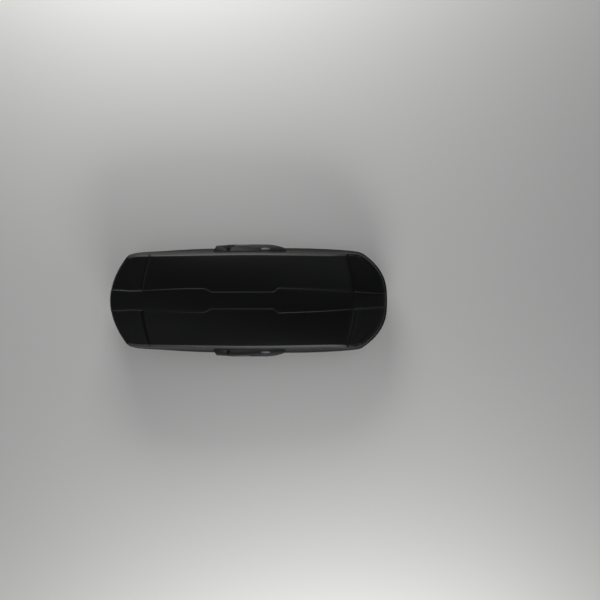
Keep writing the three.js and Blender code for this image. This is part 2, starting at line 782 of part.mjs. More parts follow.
const opener = alongZ(openerPlan, openerFootZ, openerFaceZ)
  .intersect(openerSection)
  .subtract(lidForm(-clearance))
  .subtract(leverPocket)
  .subtract(keyRecess)
  .subtract(keyBore)
  .subtract(tabCavity);
placeOnBothSides('opener_housing', opener, openerPlastic);

// Grip levers: a barrel on its pin with a curved skin that the fingers pull out
const lever = joined([
  bar('x', leverBarrel, leverRearX, leverFrontX, [0, leverPivotY, leverPivotZ]),
  bar('x', leverPinRadius, leverRearX - leverPinReach, leverFrontX + leverPinReach, [0, leverPivotY, leverPivotZ]),
  alongX([
    [leverPivotY, leverPivotZ + leverBarrel],
    [openerEdgeY, openerEdgeZ - clearance],
    [openerReach - clearance, openerSideZ - clearance],
    [openerReach - clearance, openerFootZ + openerFootCut],
    [openerReach - openerFootCut, openerFootZ],
    [openerReach - openerFootCut - leverSkin / 2, openerFootZ + leverSkin / 2],
    [openerReach - leverSkin, openerFootZ + openerFootCut + leverSkin / 2],
    [openerReach - leverSkin, openerSideZ - leverSkin / 2],
    [openerEdgeY - leverSkin / 2, leverPivotZ - leverSkin / 2],
    [leverPivotY, leverPivotZ - leverBarrel / 2],
  ], leverRearX, leverFrontX),
]);
placeOnBothSides('grip_lever', lever, openerPlastic);

// Key plugs: a round rosette over a crank whose pin runs in the lock bar's tab
const crankTurn = Math.PI / 4;
const crankX = crankRadius * Math.sin(crankTurn);
const crankY = crankRadius * Math.cos(crankTurn);
const crankFoot = -keyDepth - crankDiscHeight;
const keyPlug = joined([
  bar('z', keyRadius, -keyDepth, keyStand, [0, 0, 0]),
  bar('z', crankDisc, crankFoot, -keyDepth, [0, 0, 0]),
  bar('z', crankPinRadius, crankFoot - crankPinLength, crankFoot, [crankX, crankY, 0]),
]).subtract(block(
  -keySlotLength / 2, keySlotLength / 2, -keySlotWidth / 2, keySlotWidth / 2, keyStand - keySlotDepth, keyStand + overrun,
));
placeOnBothSides('key_plug', onKeyFrame(keyPlug), zincSteel);

// Lifter posts: a hinge post with a drum for the spring and a journal for the arm
const lifterFootZ = lifterBossTopZ + clearance;
const springRadius = (postRadius + clearance + springWire / 2) / Math.cos(Math.PI / springSteps);
function lifterPost(x) {
  const drumX = x + postThickness / 2;
  const armX = drumX + drumLength;
  const capX = armX + armThickness + 2 * clearance;
  return joined([
    postSolid(x, lifterFootZ, postRadius * 2),
    bar('x', postRadius, drumX, armX, [0, hingeY, hingeZ]),
    bar('x', pinRadius, armX, capX + lifterCap, [0, hingeY, hingeZ]),
    bar('x', postRadius, capX, capX + lifterCap, [0, hingeY, hingeZ]),
  ]);
}

// Lifter arm: a flat bar from its eye right across the box to a toe under the lid's far pad
function lifterArm(x) {
  const x0 = x + postThickness / 2 + drumLength + clearance;
  const x1 = x0 + armThickness;
  const armTopZ = armZ + armDepth;
  const toeZ = ledgeZ - clearance;
  const armEndY = armToeInset - hingeY;
  return alongX([
    [hingeY, hingeZ - armEyeRadius],
    [hingeY - armShoulder, armZ],
    [armEndY + armShoulder, armZ],
    [armEndY, toeZ - armDepth],
    [armEndY, toeZ],
    [armEndY + armToe, toeZ],
    [armEndY + armToe + armDepth, armTopZ],
    [hingeY - armShoulder - armDepth / 2, armTopZ],
    [hingeY, hingeZ + armEyeRadius],
  ], x0, x1)
    .add(bar('x', armEyeRadius, x0, x1, [0, hingeY, hingeZ]))
    .subtract(bar('x', pinRadius + clearance, x0 - overrun, x1 + overrun, [0, hingeY, hingeZ]));
}

// Torsion spring: one wire wound round the drum, each end straight for a wire's width
class SpringCurve extends THREE.Curve {
  constructor(x) {
    super();
    this.x = x;
    this.turn = Math.hypot(2 * Math.PI * springRadius, springPitch);
    this.total = this.turn * springTurns + 2 * springWire;
  }

  getPoint(t, target = new THREE.Vector3()) {
    const run = t * this.total - springWire;
    const wound = THREE.MathUtils.clamp(run, 0, this.turn * springTurns);
    const angle = (wound / this.turn) * 2 * Math.PI + Math.PI / 2;
    const past = run - wound;
    return target.set(
      this.x + (wound / this.turn) * springPitch,
      hingeY + springRadius * Math.cos(angle) - past * Math.sin(angle),
      hingeZ + springRadius * Math.sin(angle) + past * Math.cos(angle),
    );
  }
}

function springSolid(x) {
  const section = new THREE.Shape();
  for (let n = 0; n < springSides; n += 1) {
    const angle = (n / springSides) * 2 * Math.PI;
    const [u, v] = [(springWire / 2) * Math.cos(angle), (springWire / 2) * Math.sin(angle)];
    if (n === 0) section.moveTo(u, v);
    else section.lineTo(u, v);
  }
  section.closePath();
  return toSolid(new THREE.ExtrudeGeometry(section, {
    steps: springTurns * springSteps + 2,
    extrudePath: new SpringCurve(x),
    bevelEnabled: false,
  }));
}

// Least gap between two parts of the same wire, measured on points along it
function leastSpringGap() {
  const curve = new SpringCurve(0);
  const perTurn = 60;
  const points = curve.getSpacedPoints(perTurn * springTurns);
  let least = Infinity;
  for (let a = 0; a < points.length; a += 1) {
    for (let b = a + perTurn / 2; b < points.length; b += 1) {
      least = Math.min(least, points[a].distanceTo(points[b]) - springWire);
    }
  }
  return least;
}
console.log(`least gap between the turns of a lifter spring: ${leastSpringGap().toFixed(2)} mm`);

for (const [end, x] of [['rear', -lifterX], ['front', lifterX]]) {
  for (const side of ['left', 'right']) {
    const postX = side === 'left' ? x : x - lifterStagger;
    const shown = side === 'left' ? (solid) => solid : mirrored;
    const springX = postX + postThickness / 2 + springWire / 2 + clearance;
    place(`lifter_post_${end}_${side}`, shown(lifterPost(postX)), zincSteel);
    place(`lifter_arm_${end}_${side}`, shown(lifterArm(postX)), clampPlastic);
    place(`lifter_spring_${end}_${side}`, shown(springSolid(springX)), springSteel);
  }
}

// Clamp tracks: a strip along each side of the floor, slotted over the floor's own slots
const trackZ = floorTopZ + clearance;
const trackTopZ = trackZ + trackThickness;
const trackRearX = barRearX - slotLength / 2 - trackMargin;
const trackFrontX = barFrontX + slotLength / 2 + trackMargin;
const track = block(trackRearX, trackFrontX, clampY - trackWidth / 2, clampY + trackWidth / 2, trackZ, trackTopZ)
  .subtract(joined([barRearX, barFrontX].map((x) => alongZ(
    slotShape(slotLength, slotWidth, x, clampY), floorZ, trackTopZ + overrun,
  ))));
placeOnBothSides('clamp_track', track, railAluminium);

// Clamp body: a seat that passes the slot to the bar, a plate on the track and two cheeks
const plateZ = trackTopZ + clearance;
const plateTopZ = plateZ + plateHeight;
const yokeTopZ = yokeZ + yokeHeight;
const cheekOuterY = plateWidth / 2;
const cheekInnerY = cheekOuterY - cheekThickness;
const cheekOutline = [
  [-cheekLength / 2, plateTopZ],
  [cheekLength / 2, plateTopZ],
  [cheekLength / 2, jawPivotZ],
  [bridgeLength / 2 + jawHalfEye, cheekTopZ],
  [-bridgeLength / 2 - jawHalfEye, cheekTopZ],
  [-cheekLength / 2, jawPivotZ],
];
const clampBody = joined([
  block(-seatLength / 2, seatLength / 2, -seatWidth / 2, seatWidth / 2, barTopZ, plateTopZ),
  block(-plateLength / 2, plateLength / 2, -plateWidth / 2, plateWidth / 2, plateZ, plateTopZ),
  alongY(cheekOutline, cheekInnerY, cheekOuterY),
  alongY(cheekOutline, -cheekOuterY, -cheekInnerY),
  block(-bridgeLength / 2, bridgeLength / 2, -cheekOuterY, cheekOuterY, cheekTopZ - bridgeHeight, cheekTopZ),
  bar('y', jawPinRadius, -cheekOuterY, cheekOuterY, [jawPivotX, 0, jawPivotZ]),
  bar('y', jawPinRadius, -cheekOuterY, cheekOuterY, [-jawPivotX, 0, jawPivotZ]),
]).subtract(bar('z', screwRadius + threadClearance, yokeTopZ, cheekTopZ + overrun, [0, 0, 0]));

// Clamp jaw: a bell crank, with its toe under the bar and its tail over the yoke
const tailZ = yokeTopZ + clearance;
const legOuterX = jawPivotX + jawHalfEye;
const legInnerX = legOuterX - jawSkin;
const clampJaw = alongY([
  [legOuterX, jawPivotZ],
  [legOuterX, jawHeelCut],
  [legOuterX - jawHeelCut, 0],
  [jawToeX, 0],
  [jawToeX, jawToeHeight],
  [jawToeX + jawHeelCut, barBottomZ - clearance],
  [legInnerX, barBottomZ - clearance],
  [legInnerX, jawPivotZ - jawHalfEye],
  [jawPivotX - jawHalfEye, jawPivotZ],
  [jawPivotX - jawHalfEye - jawTailHeight, tailZ],
  [jawTailX, tailZ],
  [jawTailX, tailZ + jawTailHeight],
  [jawPivotX - jawHalfEye, tailZ + jawTailHeight],
], -jawWidth / 2, jawWidth / 2)
  .add(bar('y', jawHalfEye, -jawWidth / 2, jawWidth / 2, [jawPivotX, 0, jawPivotZ]))
  .subtract(bar('y', jawPinRadius + clearance, -jawWidth, jawWidth, [jawPivotX, 0, jawPivotZ]));

// Yoke nut: a block on the screw's thread that lifts both tails
const yoke = block(-yokeLength / 2, yokeLength / 2, -yokeWidth / 2, yokeWidth / 2, yokeZ, yokeTopZ)
  .subtract(bar('z', screwRadius + threadClearance, yokeZ - overrun, yokeTopZ + overrun, [0, 0, 0]));

// Knob: five rounded lobes over the screw
const knobShape = new THREE.Shape();
const knobPoints = 8 * knobLobes;
for (let n = 0; n < knobPoints; n += 1) {
  const angle = (n / knobPoints) * 2 * Math.PI;
  const radius = knobRadius + knobLobe * Math.cos(knobLobes * angle);
  const [x, y] = [radius * Math.cos(angle), radius * Math.sin(angle)];
  if (n === 0) knobShape.moveTo(x, y);
  else knobShape.lineTo(x, y);
}
knobShape.closePath();
const knobZ = cheekTopZ + clearance;
const knob = alongZ(knobShape, knobZ, knobZ + knobHeight)
  .add(bar('z', screwRadius, screwFootZ, knobZ + knobHeight / 2, [0, 0, 0]));

function turnedBack(solid) {
  const geometry = toGeometry(solid);
  geometry.rotateZ(Math.PI);
  return toSolid(geometry);
}

for (const { name, x, y } of clampCentres) {
  place(`clamp_${name}_body`, clampBody, clampPlastic, x, y);
  place(`clamp_${name}_knob`, knob, knobPlastic, x, y);
  place(`clamp_${name}_yoke`, yoke, zincSteel, x, y);
  place(`clamp_${name}_jaw_front`, clampJaw, jawRubber, x, y);
  place(`clamp_${name}_jaw_rear`, turnedBack(clampJaw), jawRubber, x, y);
}

// Mat: felt on the floor between the tracks
const matHalfWidth = clampY - trackWidth / 2 - matMargin;
place('base_mat', block(
  trackRearX, trackFrontX, -matHalfWidth, matHalfWidth, floorTopZ + clearance, floorTopZ + clearance + matThickness,
), matFelt);

export default object;
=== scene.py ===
# Roof cargo box, dressed for render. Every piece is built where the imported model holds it, in metres.
import json
import math

import bmesh
import bpy
from mathutils import Matrix, Vector
from mathutils.bvhtree import BVHTree

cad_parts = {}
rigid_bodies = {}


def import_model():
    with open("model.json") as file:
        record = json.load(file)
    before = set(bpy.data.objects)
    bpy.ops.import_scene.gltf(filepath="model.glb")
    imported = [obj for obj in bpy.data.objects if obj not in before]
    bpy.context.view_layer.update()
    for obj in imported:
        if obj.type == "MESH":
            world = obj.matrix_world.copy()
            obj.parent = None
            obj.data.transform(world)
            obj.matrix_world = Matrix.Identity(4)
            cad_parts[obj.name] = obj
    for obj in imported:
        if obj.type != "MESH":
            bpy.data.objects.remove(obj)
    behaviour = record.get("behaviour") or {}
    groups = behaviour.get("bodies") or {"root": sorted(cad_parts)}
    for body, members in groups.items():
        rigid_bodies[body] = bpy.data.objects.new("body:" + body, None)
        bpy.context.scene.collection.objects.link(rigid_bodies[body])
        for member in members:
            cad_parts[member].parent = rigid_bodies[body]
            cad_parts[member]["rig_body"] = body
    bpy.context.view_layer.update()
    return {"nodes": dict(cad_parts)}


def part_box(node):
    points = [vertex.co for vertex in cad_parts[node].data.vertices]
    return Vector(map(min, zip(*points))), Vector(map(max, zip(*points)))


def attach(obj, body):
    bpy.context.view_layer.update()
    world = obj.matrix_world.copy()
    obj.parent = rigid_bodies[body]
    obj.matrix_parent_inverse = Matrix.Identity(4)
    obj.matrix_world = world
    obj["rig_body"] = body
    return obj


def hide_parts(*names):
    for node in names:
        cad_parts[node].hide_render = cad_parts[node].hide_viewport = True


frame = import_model()
mm = 0.001
sides = ("left", "right")
ends = ("rear", "front")

# Camera: straight above the box and ahead of its middle, as a photograph from a high window.
# The nose points to the right of the picture.
scene = bpy.context.scene
camera_place = Vector((0.421, 0.004, 7.385))
camera_lens = 51.8
sensor_width = 36
camera_data = bpy.data.cameras.new("camera")
camera_data.lens = camera_lens
camera_data.sensor_width = sensor_width
camera = bpy.data.objects.new("camera", camera_data)
camera.location = camera_place
scene.collection.objects.link(camera)
scene.camera = camera
scene.view_settings.view_transform = "Standard"


# Floor and light: a pale matt floor, a plain grey surround and four soft boxes.
# The two low ones stand along the sides, where the lid's shoulder mirrors them to a camera above.
def linear(hex_colour):
    """The linear colour of an sRGB hex value."""
    shares = [int(hex_colour[n : n + 2], 16) / 255 for n in (1, 3, 5)]
    return [s / 12.92 if s <= 0.04045 else ((s + 0.055) / 1.055) ** 2.4 for s in shares] + [1]


def feed(tree, node, **links):
    """Feeds a node's inputs: a socket is joined to the named input, and a value is set."""
    for name, value in links.items():
        numbered = name[0] == "i" and name[1:].isdigit()
        socket = node.inputs[int(name[1:]) if numbered else name.replace("_", " ")]
        if isinstance(value, bpy.types.NodeSocket):
            tree.links.new(value, socket)
        else:
            socket.default_value = value


def add_node(tree, kind, settings=None, **links):
    """Adds a node of some kind, with its settings and its inputs."""
    node = tree.nodes.new(kind)
    for name, value in (settings or {}).items():
        setattr(node, name, value)
    feed(tree, node, **links)
    return node


def new_material(name):
    """A material to build a look in, with its tree, its shader and the place on the object."""
    material = bpy.data.materials.new(name)
    material.use_nodes = True
    tree = material.node_tree
    place = add_node(tree, "ShaderNodeTexCoord").outputs["Object"]
    return material, tree, tree.nodes["Principled BSDF"], place


def noise(tree, place, scale, detail):
    """A noise, with so many lumps to a unit of the place."""
    return add_node(tree, "ShaderNodeTexNoise", Vector=place, Scale=scale, Detail=detail).outputs["Fac"]


def bumpy(tree, height, depth, strength):
    """The surface direction over bumps of some depth in metres."""
    bump = add_node(tree, "ShaderNodeBump", Height=height, Distance=depth, Strength=strength)
    return bump.outputs["Normal"]


roller_lumps = 60
roller_depth = 0.2 * mm


def painted(name, colour, roughness):
    """A matt painted board. Its roller lumps are 17 mm apart, coarser than real ones, so that they show."""
    material, tree, shader, place = new_material(name)
    normal = bumpy(tree, noise(tree, place, roller_lumps, 3), roller_depth, 0.3)
    feed(tree, shader, Base_Color=linear(colour), Roughness=roughness, Normal=normal)
    return material


# Painted board: a plain pale grey with no gloss, which shows the soft shadow round the box
floor_reach = 30
floor_mesh = bmesh.new()
bmesh.ops.create_grid(floor_mesh, x_segments=8, y_segments=8, size=floor_reach)
floor_data = bpy.data.meshes.new("floor")
floor_mesh.to_mesh(floor_data)
floor_mesh.free()
floor = bpy.data.objects.new("floor", floor_data)
floor.data.materials.append(painted("painted_board", "#c6c6c3", 0.8))
scene.collection.objects.link(floor)

# The surround is an even grey with soft brighter patches: a high one and a lower one over each end of the box
surround_strength = 0.14
patch_strength = 1.2
patch_edge = 0.92
patch_directions = ((-0.38, -0.34, 0.86), (0.38, 0.42, 0.825), (-0.74, 0.32, 0.59), (0.87, -0.3, 0.39))
surround_colour = "#b9bcc0"
world = bpy.data.worlds.new("surround")
world.use_nodes = True
sky = world.node_tree
sky_direction = add_node(sky, "ShaderNodeTexCoord").outputs["Generated"]
strength = surround_strength
for direction in patch_directions:
    towards = add_node(
        sky, "ShaderNodeVectorMath", {"operation": "DOT_PRODUCT"}, i0=sky_direction, i1=direction,
    )
    patch = add_node(
        sky, "ShaderNodeMapRange", {"interpolation_type": "SMOOTHSTEP"},
        Value=towards.outputs["Value"], From_Min=patch_edge, From_Max=1, To_Max=patch_strength,
    )
    strength = add_node(sky, "ShaderNodeMath", i0=patch.outputs["Result"], i1=strength).outputs["Value"]
sky.nodes["Background"].inputs["Color"].default_value = linear(surround_colour)
sky.links.new(strength, sky.nodes["Background"].inputs["Strength"])
scene.world = world
light_aim = Vector((0, 0, 0.2))


def soft_box(name, place, width, height, watts):
    """An area lamp aimed at the middle of the box."""
    data = bpy.data.lights.new(name, "AREA")
    data.shape = "RECTANGLE"
    data.size = width
    data.size_y = height
    data.energy = watts
    lamp = bpy.data.objects.new(name, data)
    lamp.location = place
    lamp.rotation_euler = (light_aim - Vector(place)).to_track_quat("-Z", "Y").to_euler()
    lamp.visible_camera = False
    scene.collection.objects.link(lamp)


soft_box("key_light", (-0.8, 5, 1.9), 3.2, 1.2, 190)
soft_box("fill_light", (0.8, -5, 1.9), 3.2, 1.2, 175)
soft_box("low_light_left", (0, 5.2, 0.8), 8, 1, 105)
soft_box("low_light_right", (0, -5.2, 0.8), 8, 1, 100)


# Lid hood: one sheet of satin black ABS, vacuum formed over a mould, 4 mm thick.
# A raised band runs down the middle, two creases cross it, and a chamfered shoulder runs all round.
lid_low, lid_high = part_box("lid_shell")
half_length = lid_high.x
half_width = lid_high.y
lid_height = 399.9 * mm
lip_z = lid_low.z
wall_foot_z = lip_z + 22 * mm
lid_wall = 4 * mm
hood_levels = [1, 1.12, 1.3, 1.5, 1.68, 1.84, 2, 2.5, 3]
shoulder_width = 21 * mm
tail_shoulder_share = 0.5
shoulder_drop = 18 * mm
shoulder_round = 3 * mm
tail_lean = 12 * mm
nose_lean = 22 * mm
spine_rise = 4.4 * mm
spine_edge = 12 * mm
crease_drop = 4 * mm
crease_run = 24 * mm
crease_groove = 3.4 * mm
groove_run = 2.2 * mm
crease_shares = (-0.77, 0.787)

# Each row is a place along the half length at the middle, the place at the side, and the bow between them
row_shares = [
    (-1, -0.88, 2), (-0.95, -0.848, 2), (-0.885, -0.81, 1.9), (-0.825, -0.765, 1.8), (-0.77, -0.713, 1.6),
    (-0.66, -0.61, 1.6), (-0.52, -0.491, 1.6), (-0.4, -0.39, 1.6), (-0.265, -0.265, 1),
    (0, 0, 1), (0.222, 0.222, 1), (0.345, 0.34, 1.6), (0.475, 0.46, 1.6), (0.6, 0.57, 1.6), (0.71, 0.66, 1.6),
    (0.787, 0.728, 1.6), (0.855, 0.768, 2), (0.905, 0.795, 2.4), (0.955, 0.818, 2.6), (1, 0.828, 2.8),
]
rim_shares = [
    (-0.88, 0.868), (-0.848, 0.894), (-0.8, 0.917), (-0.636, 0.943), (-0.491, 0.968), (-0.31, 0.989),
    (0.017, 1), (0.379, 0.998), (0.524, 0.986), (0.66, 0.966), (0.74, 0.948), (0.8, 0.924), (0.828, 0.89),
]
crown_shares = [
    (-1, 0.8), (-0.87, 0.858), (-0.74, 0.925), (-0.52, 0.98), (-0.26, 1), (0, 0.998),
    (0.26, 0.97), (0.52, 0.905), (0.75, 0.825), (0.84, 0.72), (0.93, 0.61), (1, 0.515),
]
crown_drop_shares = [
    (-1, 0.015), (-0.87, 0.05), (-0.74, 0.09), (-0.49, 0.118), (-0.26, 0.135), (0.2, 0.134),
    (0.47, 0.116), (0.7, 0.095), (0.77, 0.095), (0.84, 0.05), (0.93, -0.01), (1, -0.098),
]
shoulder_inset_shares = [
    (-0.88, 0.046), (-0.8, 0.053), (-0.636, 0.071), (-0.491, 0.091), (-0.31, 0.103),
    (0.017, 0.105), (0.379, 0.112), (0.524, 0.107), (0.63, 0.094), (0.7, 0.078), (0.77, 0.059),
    (0.828, 0.046),
]
spine_shares = [
    (-1, 0.208), (-0.93, 0.203), (-0.86, 0.19), (-0.7, 0.206), (-0.6, 0.218), (-0.47, 0.231),
    (-0.318, 0.234), (-0.312, 0.234), (-0.265, 0.169), (-0.259, 0.169), (0, 0.169), (0.18, 0.169),
    (0.186, 0.169), (0.222, 0.244), (0.228, 0.244), (0.517, 0.217), (0.8, 0.173), (1, 0.142),
]
crown_power = 2.2
wall_profile_shares = [
    (0, 1, 1), (0.12, 0.93, 0.9), (0.3, 0.8, 0.7), (0.5, 0.64, 0.45), (0.68, 0.45, 0.24),
    (0.84, 0.22, 0.09), (1, 0, 0),
]


def follow(table, at):
    """Reads a table of shares at one place with a smooth curve through its points."""
    last = len(table) - 1
    k = 0
    while k < last - 1 and at > table[k + 1][0]:
        k += 1
    (x0, y0), (x1, y1) = table[k], table[k + 1]
    before, after = table[max(k - 1, 0)], table[min(k + 2, last)]
    t = min(max((at - x0) / (x1 - x0), 0), 1)
    slope0 = (y1 - before[1]) / (x1 - before[0]) * (x1 - x0)
    slope1 = (after[1] - y0) / (after[0] - x0) * (x1 - x0)
    return (
        (2 * t**3 - 3 * t**2 + 1) * y0 + (t**3 - 2 * t**2 + t) * slope0
        + (3 * t**2 - 2 * t**3) * y1 + (t**3 - t**2) * slope1
    )


def ease(value, start, end):
    """0 before start, 1 after end and a smooth step between."""
    t = min(max((value - start) / (end - start), 0), 1)
    return t * t * (3 - 2 * t)


side_shares = [(middle, side) for middle, side, bow in row_shares]
bow_shares = [(middle, bow) for middle, side, bow in row_shares]


def crease(middle):
    """How far the tail and nose panels lie below the middle one, with a groove along each step."""
    run = crease_run / half_length / 2
    rear, front = crease_shares
    step = 1 - ease(middle, rear - run, rear + run) + ease(middle, front - run, front + run)
    width = groove_run / half_length
    groove = sum(math.exp(-(((middle - place) / width) ** 2)) for place in (rear - run, front + run))
    return step * crease_drop + groove * crease_groove


def spine_place(middle):
    """The spine's half width at that row and the half width of the whole top, in metres."""
    side = follow(side_shares, middle)
    shoulder = follow(shoulder_inset_shares, side) * half_width + shoulder_width
    return follow(spine_shares, middle) * half_width, follow(rim_shares, side) * half_width - shoulder


def top_height(middle, across):
    """Height of the lid's top. The middle band stands proud and runs on over the creases."""
    spine, top_edge = spine_place(middle)
    raised = 1 - ease(abs(across) * top_edge, spine - spine_edge, spine)
    panel = follow(crown_shares, middle) - follow(crown_drop_shares, middle) * abs(across) ** crown_power
    return panel * lid_height - crease(middle) * (1 - raised) - spine_rise * (1 - raised)


def lid_point(middle, across, level):
    """One point of the lid. Level 0 is the top sheet, 1 the shoulder's edge, 2 the wall's foot, 3 the lip."""
    side = follow(side_shares, middle)
    share = middle + (side - middle) * abs(across) ** follow(bow_shares, middle)
    shoulder = follow(shoulder_inset_shares, side) * half_width
    top = top_height(middle, across)
    inset, lean, z = shoulder, 1, top - shoulder_drop
    if level < 1:
        inset += shoulder_width
        z = top
    elif level > 2:
        inset, lean, z = 0, 0, wall_foot_z + (lip_z - wall_foot_z) * (level - 2)
    elif level > 1:
        down = level - 1
        k = next(n for n in range(1, len(wall_profile_shares)) if down <= wall_profile_shares[n][0] + 1e-9)
        (d0, i0, z0), (d1, i1, z1) = wall_profile_shares[k - 1 : k + 1]
        t = (down - d0) / (d1 - d0)
        inset = shoulder * (i0 + (i1 - i0) * t)
        lean = i0 + (i1 - i0) * t
        z = wall_foot_z + (z - wall_foot_z) * (z0 + (z1 - z0) * t)
    end = (nose_lean if share > 0 else tail_lean) * lean
    if level < 1:
        end += shoulder_width * (1 if share > 0 else tail_shoulder_share)
    rim = follow(rim_shares, side) * half_width
    return Vector((share * (half_length - end), across * (rim - inset), z))


row_spacing = 19 * mm
crease_rows = 17
crease_clear = 10 * groove_run
row_step = row_spacing / half_length
row_places = [-1 + n * row_step for n in range(int(2 / row_step))] + [1]
crease_steps = [n * groove_run / half_length / 2 for n in range(-crease_rows, crease_rows + 1)]
row_places = [m for m in row_places if min(abs(m - c) for c in crease_shares) > crease_clear / half_length]
row_places = sorted(row_places + [c + s for c in crease_shares for s in crease_steps])
band_columns = 5
edge_columns = 4
panel_columns = 15


def column_places(middle):
    """Places across one row as shares of its half width, close together at the spine's edge."""
    spine, top_edge = spine_place(middle)
    inner, outer = (spine - spine_edge) / top_edge, spine / top_edge
    half = [inner * n / band_columns for n in range(band_columns)]
    half += [inner + (outer - inner) * n / edge_columns for n in range(edge_columns + 1)]
    half += [outer + (1 - outer) * n / panel_columns for n in range(1, panel_columns + 1)]
    return [-share for share in reversed(half[1:])] + half


def draw_edge(sheet, edge, point, level):
    """Draws the open edge of a sheet on to its next level, and gives the new edge."""
    row, column = (sheet.verts.layers.float[name] for name in ("row", "column"))
    drawn = bmesh.ops.extrude_edge_only(sheet, edges=edge)["geom"]
    for vert in (g for g in drawn if isinstance(g, bmesh.types.BMVert)):
        vert.co = point(vert[row], vert[column], level)
    return [g for g in drawn if isinstance(g, bmesh.types.BMEdge)]


def round_off(mesh, parts, radius, segments=2, affect="EDGES"):
    """Rounds some edges or corners of a mesh."""
    bmesh.ops.bevel(
        mesh, geom=parts, offset=radius, offset_type="OFFSET", segments=segments, profile=0.5,
        affect=affect, clamp_overlap=True, material=-1,
    )


def hood_mesh(rows, levels):
    """The lid's sheet: a grid laid on the top, with its open edge drawn down level by level."""
    columns = [column_places(middle) for middle in rows]
    sheet = bmesh.new()
    row_layer = sheet.verts.layers.float.new("row")
    column_layer = sheet.verts.layers.float.new("column")
    bmesh.ops.create_grid(sheet, x_segments=len(rows) - 1, y_segments=len(columns[0]) - 1, size=0.5)
    for vert in sheet.verts:
        row = round((vert.co.x + 0.5) * (len(rows) - 1))
        column = round((vert.co.y + 0.5) * (len(columns[0]) - 1))
        vert[row_layer] = rows[row]
        vert[column_layer] = columns[row][column]
        vert.co = lid_point(rows[row], columns[row][column], 0)
    edge = [e for e in sheet.edges if e.is_boundary]
    folds = list(edge)
    for level in levels:
        edge = draw_edge(sheet, edge, lid_point, level)
        folds += edge if level == 1 else []
    face_outwards(sheet, up=True)
    round_off(sheet, folds, shoulder_round, segments=3)
    return sheet


def face_outwards(sheet, up):
    """Turns the faces of an open sheet to one side, judged by the face nearest its middle."""
    bmesh.ops.recalc_face_normals(sheet, faces=sheet.faces)
    middle = min(sheet.faces, key=lambda face: face.calc_center_median().xy.length)
    if (middle.normal.z > 0) != up:
        bmesh.ops.reverse_faces(sheet, faces=sheet.faces)


sharp_angle = math.radians(35)


def piece(name, mesh, material, body):
    """A finished piece: the mesh with its material, riding on a body."""
    data = bpy.data.meshes.new(name)
    for face in mesh.faces:
        face.smooth = True
    mesh.to_mesh(data)
    mesh.free()
    obj = bpy.data.objects.new(name, data)
    data.materials.append(material)
    data.set_sharp_from_angle(angle=sharp_angle)
    scene.collection.objects.link(obj)
    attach(obj, body)
    return obj


def walled(obj, thickness):
    """Gives a sheet its thickness, on the inside."""
    wall = obj.modifiers.new("wall", "SOLIDIFY")
    wall.thickness = thickness
    wall.offset = -1


def blend(tree, share, colours):
    """A colour between two, by a share."""
    mix = add_node(tree, "ShaderNodeMix", {"data_type": "RGBA"}, Factor=share)
    mix.inputs["A"].default_value = linear(colours[0])
    mix.inputs["B"].default_value = linear(colours[1])
    return mix.outputs["Result"]


def spread(tree, value, limits):
    """A noise's middle range spread between two limits."""
    low, high = limits
    ramp = add_node(
        tree, "ShaderNodeMapRange", Value=value, From_Min=0.3, From_Max=0.7, To_Min=low, To_Max=high,
    )
    return ramp.outputs["Result"]


plastic_ior = 1.5
plastic_patches = 7


def moulded(name, colours, roughness, grain, depth, specular=0.5):
    """A moulded plastic: millimetres between its bumps, their depth, and a slow drift of tone and gloss."""
    material, tree, shader, place = new_material(name)
    grit = noise(tree, place, 1 / (grain * mm), 2)
    feed(
        tree, shader, Base_Color=blend(tree, noise(tree, place, plastic_patches, 4), colours),
        Roughness=spread(tree, grit, roughness), Normal=bumpy(tree, grit, depth * mm, 0.6),
        IOR=plastic_ior, Specular_IOR_Level=specular,
    )
    return material


# Satin ABS: near black, with a broad soft highlight on the shoulder. Its faint grain is drawn 1.4 mm apart,
# coarser than the real one, so that it shows.
lid_abs = moulded("vacuum_formed_satin_abs", ("#070708", "#0a0a0b"), (0.34, 0.42), 1.4, 0.02, specular=0.2)
lid_hood = piece("lid_hood", hood_mesh(row_places, hood_levels), lid_abs, "lid")
walled(lid_hood, lid_wall)
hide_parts("lid_shell")


def carve(obj, cutter_mesh):
    """Cuts a closed mesh out of a piece, and keeps the result as the piece's own mesh."""
    cutter_data = bpy.data.meshes.new("cutter")
    cutter_mesh.to_mesh(cutter_data)
    cutter_mesh.free()
    cutter = bpy.data.objects.new("cutter", cutter_data)
    scene.collection.objects.link(cutter)
    cut = obj.modifiers.new("cut", "BOOLEAN")
    cut.object = cutter
    cut.solver = "EXACT"
    bpy.context.view_layer.update()
    whole = bpy.data.meshes.new_from_object(obj.evaluated_get(bpy.context.evaluated_depsgraph_get()))
    obj.modifiers.clear()
    obj.data = whole
    bpy.data.objects.remove(cutter)


def block(low, high, edge, into=None, fit=None):
    """A block between two corners, fitted to its place, with rounded edges. It can go into a mesh."""
    mesh = into or bmesh.new()
    made = bmesh.ops.create_cube(mesh, size=1)["verts"]
    bmesh.ops.scale(mesh, vec=Vector(high) - Vector(low), verts=made)
    bmesh.ops.translate(mesh, vec=(Vector(low) + Vector(high)) / 2, verts=made)
    for vert in made if fit else ():
        vert.co = fit(vert.co)
    bmesh.ops.recalc_face_normals(mesh, faces=list({face for vert in made for face in vert.link_faces}))
    if edge:
        round_off(mesh, list({link for vert in made for link in vert.link_edges}), edge)
    return mesh


# The lock bars' tabs leave the lid through a window in each side wall, behind the opener housing.
# The window is as long as the tab's travel.
key_x = -174 * mm
tab_half_run = 20 * mm
tab_z = 190.5 * mm
window_inner_y = 392 * mm
window_below = 0.9 * mm
window_above = 3.9 * mm
window = bmesh.new()
for side in (-1, 1):
    block(
        (key_x - tab_half_run, side * window_inner_y, tab_z - window_below),
        (key_x + tab_half_run, side * half_width, tab_z + window_above), 0, into=window,
    )
carve(lid_hood, window)


